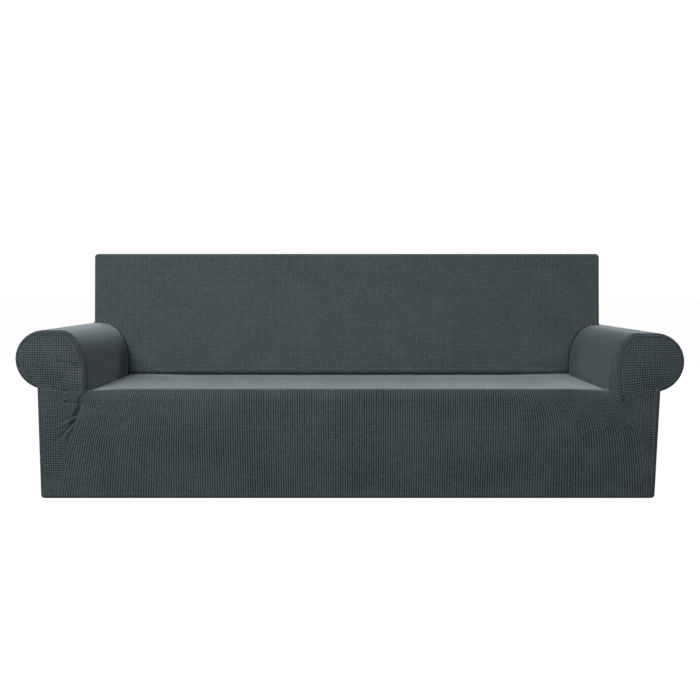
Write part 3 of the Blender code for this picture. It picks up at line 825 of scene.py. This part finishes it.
def seat_rows():
    share = seat_columns()
    left, right = ARMS
    clear = smooth(share / SEAT_END_REACH) * smooth((1 - share) / SEAT_END_REACH)
    from_end = 2 * np.minimum(share, 1 - share)
    corner = np.where(share < 0.5, left.curl_inner, right.curl_inner)
    radius = between(corner, SEAT_ROLL, clear)
    start = FRONT - SKIRT_BULGE * clear + radius
    edge_up = SEAT_TOP + SEAT_CROWN * clear
    sag = CREASE_SAG * (1 - sum(near_ends(share)))
    end_of_deck = CREASE + FOOT_DEPTH + CLEAR_OF_FOOT
    points = []
    weave = []
    run = [0.0]

    def add(reach_left, reach_right, y, up):
        x = between(-reach_left, reach_right, share)
        row = np.stack([x, y + 0 * x, up + 0 * x], axis=-1)
        if points:
            middle = SEAT_COLUMNS // 2
            run.append(run[-1] + hypot(*(row[middle, 1:] - points[-1][middle, 1:])))
        points.append(row)
        upright = between(x, (share - 0.5) * ALONG_SEAM_WIDTH, 1 - smooth(from_end / UPRIGHT_FROM))
        weave.append(np.stack([upright, np.full_like(x, run[-1])], axis=-1))

    for deck in 1 - np.linspace(0, 1, DECK_STEPS + 1)[:-1] ** CREASE_CROWDING:
        y = between(start, end_of_deck, deck)
        under_arm = UNDER_ARM_REACH * smooth((deck - UNDER_ARM_STARTS) / UNDER_ARM_BLEND)
        reaches = [between(arm.inner_front, arm.inner_back, deck) + under_arm for arm in ARMS]
        ends = between(-reaches[0], reaches[1], share)
        side = np.minimum(ends + reaches[0], reaches[1] - ends)
        tucked = TUCK * np.exp(-((side / SIDE_TUCK_REACH) ** 2))
        tucked *= 1 - np.exp(-(((y - start) / SIDE_TUCK_STARTS) ** 2))
        behind = TUCK * np.exp(-(((end_of_deck - y) / CREASE_REACH) ** 2))
        crown = SEAT_CROWN * clear * smooth((1 - deck) / CROWN_REACH)
        add(*reaches, y, SEAT_TOP - sag * smooth(deck) + crown - np.maximum(tucked, behind))
    for turn in np.linspace(0, pi / 2, 2 * CURL_STEPS + 1):
        reaches = [arm.inner_front + arm.curl_inner * (1 - cos(turn)) for arm in ARMS]
        add(*reaches, start - radius * sin(turn), SKIRT_TOP + (edge_up - SKIRT_TOP) * cos(turn))
    for height in skirt_heights(SKIRT_TOP):
        reaches = [float(seam_value(arm.name, height)) for arm in ARMS]
        x = between(-reaches[0], reaches[1], share)
        drawn = seam_value("drawn_left", height) * np.exp(-(((x + reaches[0]) / SKIRT_SEAM_REACH) ** 2))
        drawn += seam_value("drawn_right", height) * np.exp(-(((reaches[1] - x) / SKIRT_SEAM_REACH) ** 2))
        drawn = drawn * smooth((SKIRT_TOP - height) / SKIRT_SEAM_BLEND)
        bulge = SKIRT_BULGE * clear * smooth(height / BULGE_REACH)
        folds = smooth(height / FOLDS_ABOVE_HEM) * folded(SKIRT_FOLDS, x, height)
        lift = bulge + clear * folds - drawn
        add(*reaches, FRONT - lift + hem_turn(height), height)
    return np.array(points), np.array(weave)


# The seat carries a painted highlight: paler from the back of the deck to its front edge, gone just over
# it.
seat_cloth = slate_check("seat_cloth", 1.28, 0.90, painted_highlight=(0.10, 0.556, 0.580))
points, weave = seat_rows()
seat_panel = lay_cloth(
    "seat_front_cloth", points, weave, seat_cloth, "seat_front", facing_towards(0, -1, 1)
)
stitch_lines.append(points[np.argmin(abs(points[:, 0, 2] - HEM_STITCH_UP))])


# ---------------------------------------------------------------------------------------------
# The inside back: one length of stretch cloth from deep in the crease, up the leaning face, round
# its ends and over the top to the rear edge. Where it meets an arm it is tucked in beside it.

BACK_COLUMNS = 190
END_STEPS = 38
TOP_STEPS = 16
BACK_END_CROWDING = 0.0175
ABOVE_ARMS = 0.644
FOOT_LOW = SEAT_TOP - CREASE_SAG - TUCK
FOOT_HEIGHT = 21e-3
BACK_FOLDS_START = 0.02
BACK_TUCK = 1.3 * TUCK_INWARDS

BACK_FOLDS = (
    Fold(-1.102, 0.6923, -1.037, 0.7143, 7e-3, -3.0e-3),
    Fold(-1.087, 0.6773, -1.017, 0.6923, 9e-3, 2.0e-3),
    Fold(-1.072, 0.6423, -1.007, 0.6123, 6e-3, -3.0e-3),
    Fold(-1.072, 0.6273, -1.017, 0.5943, 6e-3, 2.5e-3),
    Fold(0.798, 0.4550, 0.927, 0.4212, 10e-3, 3.0e-3),
    Fold(0.788, 0.4282, 0.922, 0.4053, 8e-3, -3.0e-3),
    Fold(0.698, 0.4182, 0.897, 0.4729, 16e-3, 2.0e-3),
    Fold(-0.299, 0.8023, 0.449, 0.6023, 90e-3, -1.5e-3),
    Fold(-0.798, 0.8523, -0.449, 0.5028, 90e-3, 1.5e-3),
)

lean = np.arctan2(RECLINE, BACK_TOP - SEAT_TOP)
LEAN_Y, LEAN_UP = -cos(lean), sin(lean)
TOP_CENTRE = BACK_TOP - REAR_CURL
FACE_CENTRE = face_of_back(TOP_CENTRE) + REAR_CURL / cos(lean)


def end_heights(arm):
    """Heights up an end of the back, from the arm to the centre of the top edge's curl."""
    foot = arm_outline(arm, 1.0)[1, CORNER]
    return np.linspace(foot, TOP_CENTRE, END_STEPS + 1)


def inside_back_rows():
    share = np.linspace(0, 1, BACK_COLUMNS + 1)
    share = share - BACK_END_CROWDING * np.sin(4 * pi * share)
    near_left, near_right = near_ends(share)
    turns = np.linspace(0, pi / 2, CURL_STEPS + 1)[1:]
    points = []
    weave = []

    def wrap(reaches, curl, inner_row, end_row):
        """A row with its two ends curled round; end_row(side, inwards) gives y, up and run there."""
        x = between(-reaches[0] + curl, reaches[1] - curl, share)
        y, up, run = inner_row(x)
        sides = []
        for side, reach in zip((-1, 1), reaches):
            across = side * (reach - curl + curl * np.sin(turns))
            along = side * (reach - curl + curl * turns)
            end_y, end_up, end_run = end_row(side, curl * (1 - np.cos(turns)))
            sides.append((across, end_y + 0 * turns, end_up + 0 * turns, along, end_run + 0 * turns))
        whole_row = [
            np.concatenate([left_end[::-1], middle, right_end])
            for left_end, middle, right_end in zip(sides[0], (x, y, up, x, run), sides[1])
        ]
        points.append(np.stack(whole_row[:3], axis=-1))
        weave.append(np.stack(whole_row[3:], axis=-1))

    def face_row(middle, ends, curl, tuck):
        """A row across the leaning face, at its own height at each end and in the middle."""
        (left_across, left_up), (right_across, right_up) = ends

        def place(x, base, beside):
            fade = smooth((base - SEAT_TOP) / BACK_FOLDS_START)
            lift = fade * (1 - beside) * folded(BACK_FOLDS, x, base)
            foot = FOOT_DEPTH * np.exp(-(((base - FOOT_LOW) / FOOT_HEIGHT) ** 4))
            sunk = foot + tuck * beside - lift
            return face_of_back(base) - sunk * LEAN_Y, base - sunk * LEAN_UP, base / cos(lean)

        def inner_row(x):
            up = middle + near_left * (left_up - middle) + near_right * (right_up - middle)
            side = np.minimum(x + left_across, right_across - x)
            return place(x, up, np.exp(-((side / TUCK_REACH) ** 2)))

        def end_row(side, inwards):
            up = left_up if side < 0 else right_up
            y, at_up, run = place(float(side), np.asarray(up), 1.0)
            return y - inwards * LEAN_Y, at_up - inwards * LEAN_UP, run

        wrap((left_across, right_across), curl, inner_row, end_row)

    outlines = [arm_outline(arm, 1.0) for arm in ARMS]
    for spot in range(CORNER + 1):
        middle = between(FOOT_LOW, ABOVE_ARMS, (spot / CORNER) ** CREASE_CROWDING)
        tuck = BACK_TUCK * smooth((CORNER - spot) / TUCK_ENDS)
        ends = []
        for across, up, out_across, out_up in (outline[:, spot] for outline in outlines):
            ends.append((across - tuck * out_across, up - tuck * out_up))
        face_row(middle, ends, 0.0, tuck)
    heights = [end_heights(arm) for arm in ARMS]
    for step in range(1, END_STEPS + 1):
        middle = between(ABOVE_ARMS, TOP_CENTRE + REAR_CURL * LEAN_UP, step / END_STEPS)
        ends = [
            (arm.back_edge, height[step] + REAR_CURL * LEAN_UP)
            for arm, height in zip(ARMS, heights)
        ]
        face_row(middle, ends, REAR_CURL, 0.0)

    def over(y, up, out_y, out_up, run):
        """A straight row along the top or one of its rounded edges."""
        wrap(
            [arm.back_edge for arm in ARMS],
            REAR_CURL,
            lambda x: (y + 0 * x, up + 0 * x, run + 0 * x),
            lambda side, inwards: (y - inwards * out_y, up - inwards * out_up, run),
        )

    run_up = (TOP_CENTRE + REAR_CURL * LEAN_UP) / cos(lean)
    for tilt in np.linspace(lean, pi / 2, CURL_STEPS + 1)[1:]:
        y = FACE_CENTRE - REAR_CURL * cos(tilt)
        run = run_up + REAR_CURL * (tilt - lean)
        over(y, TOP_CENTRE + REAR_CURL * sin(tilt), -cos(tilt), sin(tilt), run)
    for step in np.linspace(0, 1, TOP_STEPS + 1)[1:]:
        y = between(FACE_CENTRE, REAR - REAR_CURL, step)
        over(y, BACK_TOP, 0.0, 1.0, run + y - FACE_CENTRE)
    run += REAR - REAR_CURL - FACE_CENTRE
    for tilt in np.linspace(pi / 2, 0, CURL_STEPS + 1)[1:]:
        y = REAR - REAR_CURL + REAR_CURL * cos(tilt)
        up = TOP_CENTRE + REAR_CURL * sin(tilt)
        over(y, up, cos(tilt), sin(tilt), run + REAR_CURL * (pi / 2 - tilt))
    return np.array(points), np.array(weave)


back_cloth = slate_check("inside_back_cloth", 1.0, 0.96, 0.8)
points, weave = inside_back_rows()
back_panel = lay_cloth(
    "inside_back_cloth", points, weave, back_cloth, "inside_back", facing_towards(0, -1, 1)
)


# ---------------------------------------------------------------------------------------------
# The ends of the back: a small panel of the same cloth on each end above the arm, let in between the
# inside back and the outside back.

END_COLUMNS = 30
FACES_BACK = 0.3


def end_rows_of(arm):
    points = []
    share = np.linspace(0, 1, END_COLUMNS + 1)
    turns = np.linspace(0, pi / 2, CURL_STEPS + 1)[1:]
    flat_end = REAR - REAR_CURL
    for step, height in enumerate(end_heights(arm)):
        front = face_of_back(height) + (0.0 if step == 0 else REAR_CURL * cos(lean))
        drop = REAR_CURL * (1 - np.cos(turns)) if step == 0 else 0 * turns
        y = np.concatenate([between(front, flat_end, share), flat_end + REAR_CURL * np.sin(turns)])
        across = np.concatenate([
            np.full_like(share, arm.back_edge),
            arm.back_edge - REAR_CURL * (1 - np.cos(turns)),
        ])
        up = np.concatenate([np.full_like(share, height), height - drop])
        points.append(np.stack([arm.side * across, y, up], axis=-1))
    points = np.array(points)
    return points, points[:, :, 1:]


end_cloth = slate_check("back_end_cloth")
for arm in ARMS:
    points, weave = end_rows_of(arm)
    name = f"back_end_{arm.name}"
    outwards = facing_towards(arm.side, FACES_BACK, 0.0)
    panel = lay_cloth(f"{name}_cloth", points, weave, end_cloth, name, outwards)


# ---------------------------------------------------------------------------------------------
# The outside back: one plain panel of the same cloth from the top edge to the hem. It hangs straight
# down behind the sofa, a little slack, and its two sides take in the rear ends of the rolls.

OUTSIDE_COLUMNS = 64

# The slack: how deep, how many radians a metre it waves across and up, and where it dies away.
SLACK = 2.5e-3
SLACK_ACROSS = 5.3
SLACK_SHIFT = 0.6
SLACK_UP = 6.0
SLACK_ENDS_UP = 0.08
SLACK_ENDS_ACROSS = 1.0
SLACK_BLEND = 0.2


def outside_back_rows():
    share = np.linspace(0, 1, OUTSIDE_COLUMNS + 1)
    sides = []
    for arm in ARMS:
        across, up, out_across, out_up = arm_outline(arm, 1.0)[:, CORNER:]
        out_across[0] = out_up[0] = 1.0
        inset = rear_curls(up)
        edge_across = (across - inset * out_across)[::-1]
        edge_up = (up - inset * out_up)[::-1]
        still_to_climb = ROW_GAP * np.arange(len(edge_up))[::-1]
        edge_up = np.minimum(edge_up, edge_up[-1] - still_to_climb)
        above = end_heights(arm)[1:]
        sides.append((
            np.concatenate([edge_across, np.full_like(above, arm.back_edge - REAR_CURL)]),
            np.concatenate([edge_up, above]),
        ))
    (left_across, left_up), (right_across, right_up) = sides
    up = between(left_up[:, None], right_up[:, None], share)
    x = between(-left_across[:, None], right_across[:, None], share)
    slack = SLACK * np.sin(SLACK_ACROSS * x + SLACK_SHIFT) * np.sin(SLACK_UP * up)
    slack *= smooth(up / SLACK_ENDS_UP) * smooth((TOP_CENTRE - up) / SLACK_ENDS_UP)
    slack *= smooth((SLACK_ENDS_ACROSS - np.abs(x)) / SLACK_BLEND)
    points = np.stack([x, REAR - hem_turn(up) + slack, up], axis=-1)
    return points, np.stack([x, up], axis=-1)


outside_cloth = slate_check("outside_back_cloth")
points, weave = outside_back_rows()
outside_panel = lay_cloth(
    "outside_back_cloth", points, weave, outside_cloth, "outside_back", facing_towards(0, 1, 0)
)
stitch_lines.append(points[np.argmin(abs(points[:, 0, 2] - HEM_STITCH_UP))])


# ---------------------------------------------------------------------------------------------
# The stitching: rows of short running stitches in matching polyester thread. One closes the casing
# of the hem's elastic, and two hold down the seam allowance along the edges of each facing.

STITCH_PITCH = 4.2e-3
STITCH_LENGTH = 3.0e-3
THREAD_RADIUS = 0.5e-3
THREAD_SIDES = 6


def thread_material():
    """Twisted matt thread, in the yarn's own tones."""
    material = bpy.data.materials.new("slate_thread")
    material.use_nodes = True
    tree = material.node_tree
    shader = tree.nodes["Principled BSDF"]
    place = tree.nodes.new("ShaderNodeTexCoord")
    twist = tree.nodes.new("ShaderNodeGroup")
    twist.node_tree = looped_yarn
    tree.links.new(place.outputs["Object"], twist.inputs["Place"])
    tree.links.new(blended(tree, twist.outputs["Loops"], PAD_TONE, FUZZ_TONE), shader.inputs["Base Color"])
    shader.inputs["Roughness"].default_value = 0.6
    return material


def run_of_stitches():
    """A node tree that lays stitches end to end along the edges of a mesh."""
    tree = bpy.data.node_groups.new("run_of_stitches", "GeometryNodeTree")
    tree.interface.new_socket("Lines", in_out="INPUT", socket_type="NodeSocketGeometry")
    for label in ("Pitch", "Stitch Length", "Thread Radius"):
        tree.interface.new_socket(label, in_out="INPUT", socket_type="NodeSocketFloat")
    tree.interface.new_socket("Thread", in_out="INPUT", socket_type="NodeSocketMaterial")
    tree.interface.new_socket("Stitches", in_out="OUTPUT", socket_type="NodeSocketGeometry")
    given = tree.nodes.new("NodeGroupInput").outputs
    line = joined(tree, "GeometryNodeMeshToCurve", given["Lines"])
    spaced = joined(tree, "GeometryNodeResampleCurve", line.outputs[0], mode="LENGTH")
    tree.links.new(given["Pitch"], spaced.inputs["Length"])
    thread = tree.nodes.new("GeometryNodeMeshCylinder")
    thread.inputs["Vertices"].default_value = THREAD_SIDES
    tree.links.new(given["Thread Radius"], thread.inputs["Radius"])
    tree.links.new(given["Stitch Length"], thread.inputs["Depth"])
    along = tree.nodes.new("GeometryNodeInputTangent")
    turned = tree.nodes.new("FunctionNodeAlignRotationToVector")
    turned.axis = "Z"
    tree.links.new(along.outputs[0], turned.inputs["Vector"])
    placed = tree.nodes.new("GeometryNodeInstanceOnPoints")
    tree.links.new(spaced.outputs[0], placed.inputs["Points"])
    tree.links.new(thread.outputs["Mesh"], placed.inputs["Instance"])
    tree.links.new(turned.outputs[0], placed.inputs["Rotation"])
    real = joined(tree, "GeometryNodeRealizeInstances", placed.outputs[0])
    dyed = tree.nodes.new("GeometryNodeSetMaterial")
    tree.links.new(real.outputs[0], dyed.inputs["Geometry"])
    tree.links.new(given["Thread"], dyed.inputs["Material"])
    tree.links.new(dyed.outputs[0], tree.nodes.new("NodeGroupOutput").inputs["Stitches"])
    return tree


spots = [tuple(spot) for line in stitch_lines for spot in line]
line_starts = np.cumsum([len(line) for line in stitch_lines])
steps = [(spot, spot + 1) for spot in range(len(spots) - 1) if spot + 1 not in line_starts]
guide_mesh = bpy.data.meshes.new("stitch_guides")
guide_mesh.from_pydata(spots, steps, [])
guides = bpy.data.objects.new("stitch_guides", guide_mesh)
bpy.context.scene.collection.objects.link(guides)
sewing = guides.modifiers.new("sewing", "NODES")
sewing.node_group = run_of_stitches()
settings = {
    "Pitch": STITCH_PITCH,
    "Stitch Length": STITCH_LENGTH,
    "Thread Radius": THREAD_RADIUS,
    "Thread": thread_material(),
}
for socket in sewing.node_group.interface.items_tree:
    if socket.name in settings:
        sewing[socket.identifier] = settings[socket.name]
sewn = guides.evaluated_get(bpy.context.evaluated_depsgraph_get())
stitch_mesh = bpy.data.meshes.new_from_object(sewn)
bpy.data.objects.remove(guides, do_unlink=True)
stitching = bpy.data.objects.new("stitching", stitch_mesh)
bpy.context.scene.collection.objects.link(stitching)
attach(stitching, "root")
